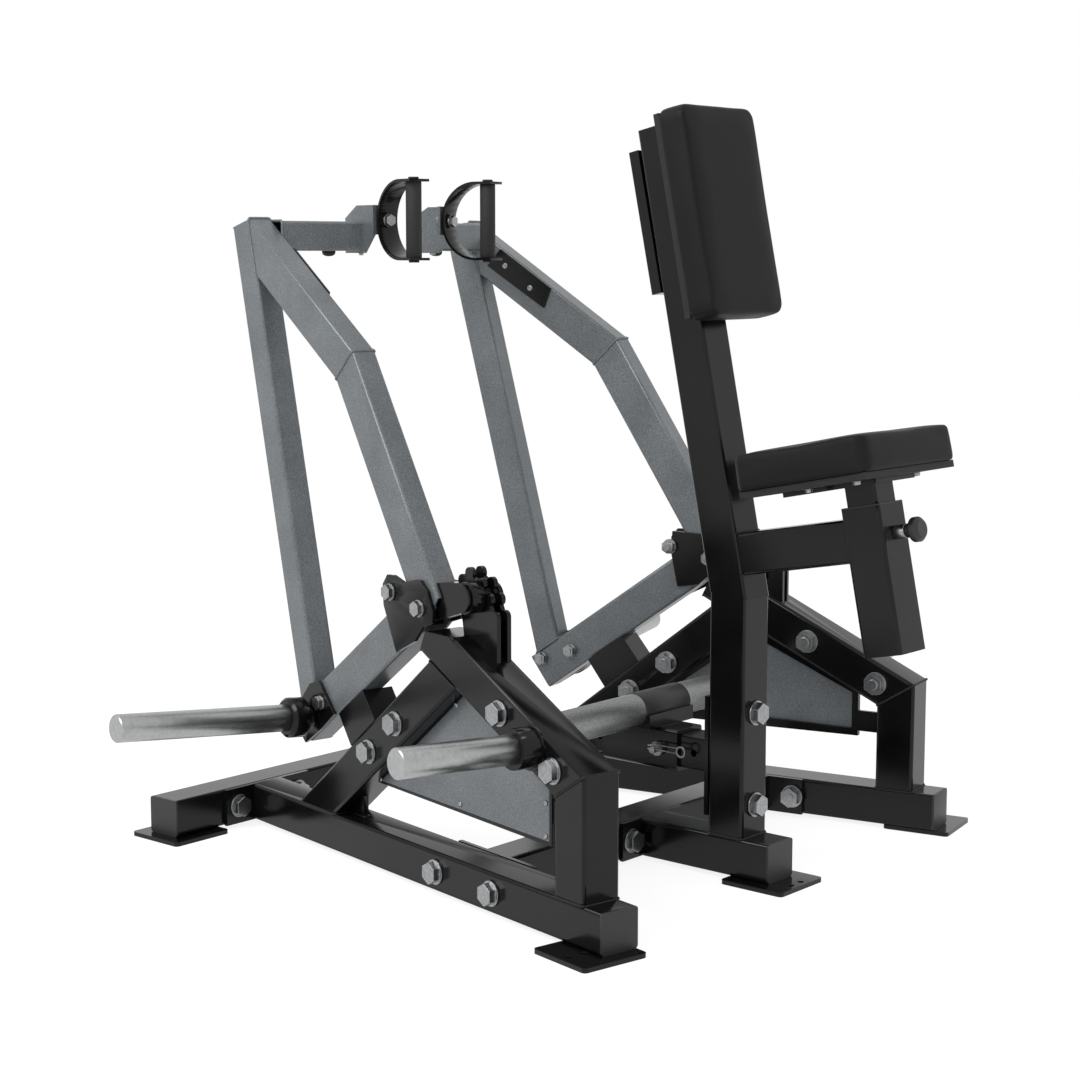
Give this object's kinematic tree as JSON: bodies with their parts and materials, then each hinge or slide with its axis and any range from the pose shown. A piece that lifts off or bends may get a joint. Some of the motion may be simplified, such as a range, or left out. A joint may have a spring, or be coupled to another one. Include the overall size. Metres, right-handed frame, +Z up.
{
  "type": "plate-loaded seated row machine",
  "caption": "Plate-loaded chest-supported seated row with two lever arms, D handles, loading and storage horns, an adjustable seat and a sliding foot bar.",
  "frame": {"origin": "on the floor, at the middle of the overall box", "axes": "+Z up, +Y the way the seated user faces, +X the user's right"},
  "size_m": [1.5326, 1.3942, 1.3542],
  "materials": {
    "frame_black": "gloss powder coat",
    "black_plastic": "moulded, fine texture",
    "arm_grey": "hammered metallic powder coat",
    "horn_steel": "satin, turned",
    "grip_rubber": "matt",
    "board": "plywood, painted black",
    "vinyl": "smooth upholstery vinyl",
    "zinc": "bright zinc plated",
    "bar_steel": "speckled silver coat"
  },
  "bodies": {
    "base": {"front_cross_rail": "frame_black", "side_rail_left": "frame_black", "side_rail_right": "frame_black", "mid_beam": "frame_black", "centre_rail": "frame_black", "foot_plates": "frame_black", "end_caps": "black_plastic", "rear_leg_left": "frame_black", "rear_leg_right": "frame_black", "rear_strut_left": "frame_black", "rear_strut_right": "frame_black", "front_strut_left": "frame_black", "front_strut_right": "frame_black", "side_panel_left": "arm_grey", "side_panel_right": "arm_grey", "panel_frame_left": "frame_black", "panel_frame_right": "frame_black", "storage_horn_left": "horn_steel", "storage_horn_right": "horn_steel", "arm_bumpers": "grip_rubber", "centre_post": "frame_black", "chest_pad_board": "board", "chest_pad": "vinyl", "placard_tray": "black_plastic", "seat_sleeve": "frame_black", "sleeve_liners": "black_plastic", "foot_slide_tube": "frame_black", "frame_bolts": "zinc", "pop_pin_housing": "zinc"},
    "left_arm": {"arm_upright_left": "arm_grey", "arm_diagonal_left": "arm_grey", "arm_bent_tube_left": "arm_grey", "arm_lower_tube_left": "arm_grey", "arm_cross_tube_left": "arm_grey", "arm_plates_left": "frame_black", "arm_hub_left": "frame_black", "loading_horn_left": "horn_steel", "arm_bolts_left": "zinc"},
    "right_arm": {"arm_upright_right": "arm_grey", "arm_diagonal_right": "arm_grey", "arm_bent_tube_right": "arm_grey", "arm_lower_tube_right": "arm_grey", "arm_cross_tube_right": "arm_grey", "arm_plates_right": "frame_black", "arm_hub_right": "frame_black", "loading_horn_right": "horn_steel", "arm_bolts_right": "zinc"},
    "left_handle": {"handle_strap_left": "frame_black", "handle_grip_left": "grip_rubber"},
    "right_handle": {"handle_strap_right": "frame_black", "handle_grip_right": "grip_rubber"},
    "seat": {"seat_frame": "frame_black", "seat_board": "board", "seat_cushion": "vinyl"},
    "pop_pin": {"pop_pin": "black_plastic"},
    "foot_carriage": {"foot_carriage": "frame_black", "foot_bar": "bar_steel"},
    "hitch_pin": {"hitch_pin": "zinc"}
  },
  "joints": [
    {"name": "left_arm_swing", "type": "hinge", "parent": "base", "child": "left_arm", "pos_m": [-0.41602, -0.09707, 0.528], "axis": [0.9808, -0.1951, 0], "range_deg": [0, 45]},
    {"name": "left_handle_turn", "type": "hinge", "parent": "left_arm", "child": "left_handle", "pos_m": [-0.08651, 0.4369, 1.163], "axis": [-0.1951, -0.9808, 0], "range_deg": [-90, 90]},
    {"name": "right_arm_swing", "type": "hinge", "parent": "base", "child": "right_arm", "pos_m": [0.41602, -0.09707, 0.528], "axis": [0.9808, 0.1951, 0], "range_deg": [0, 45]},
    {"name": "right_handle_turn", "type": "hinge", "parent": "right_arm", "child": "right_handle", "pos_m": [0.08651, 0.4369, 1.163], "axis": [-0.1951, 0.9808, 0], "range_deg": [-90, 90]},
    {"name": "seat_height", "type": "slide", "parent": "base", "child": "seat", "axis": [0, 0.2028, 0.9792], "range_m": [-0.025, 0.125]},
    {"name": "seat_pin_pull", "type": "slide", "parent": "base", "child": "pop_pin", "axis": [0, -0.9792, 0.2028], "range_m": [0, 0.013], "stiffness_N_per_m": 1500, "springref_m": -0.006},
    {"name": "foot_bar_reach", "type": "slide", "parent": "base", "child": "foot_carriage", "axis": [0, 1, 0], "range_m": [-0.036, 0.18]},
    {"name": "hitch_pin_pull", "type": "slide", "parent": "foot_carriage", "child": "hitch_pin", "axis": [-1, 0, 0], "range_m": [0, 0.095]}
  ]
}
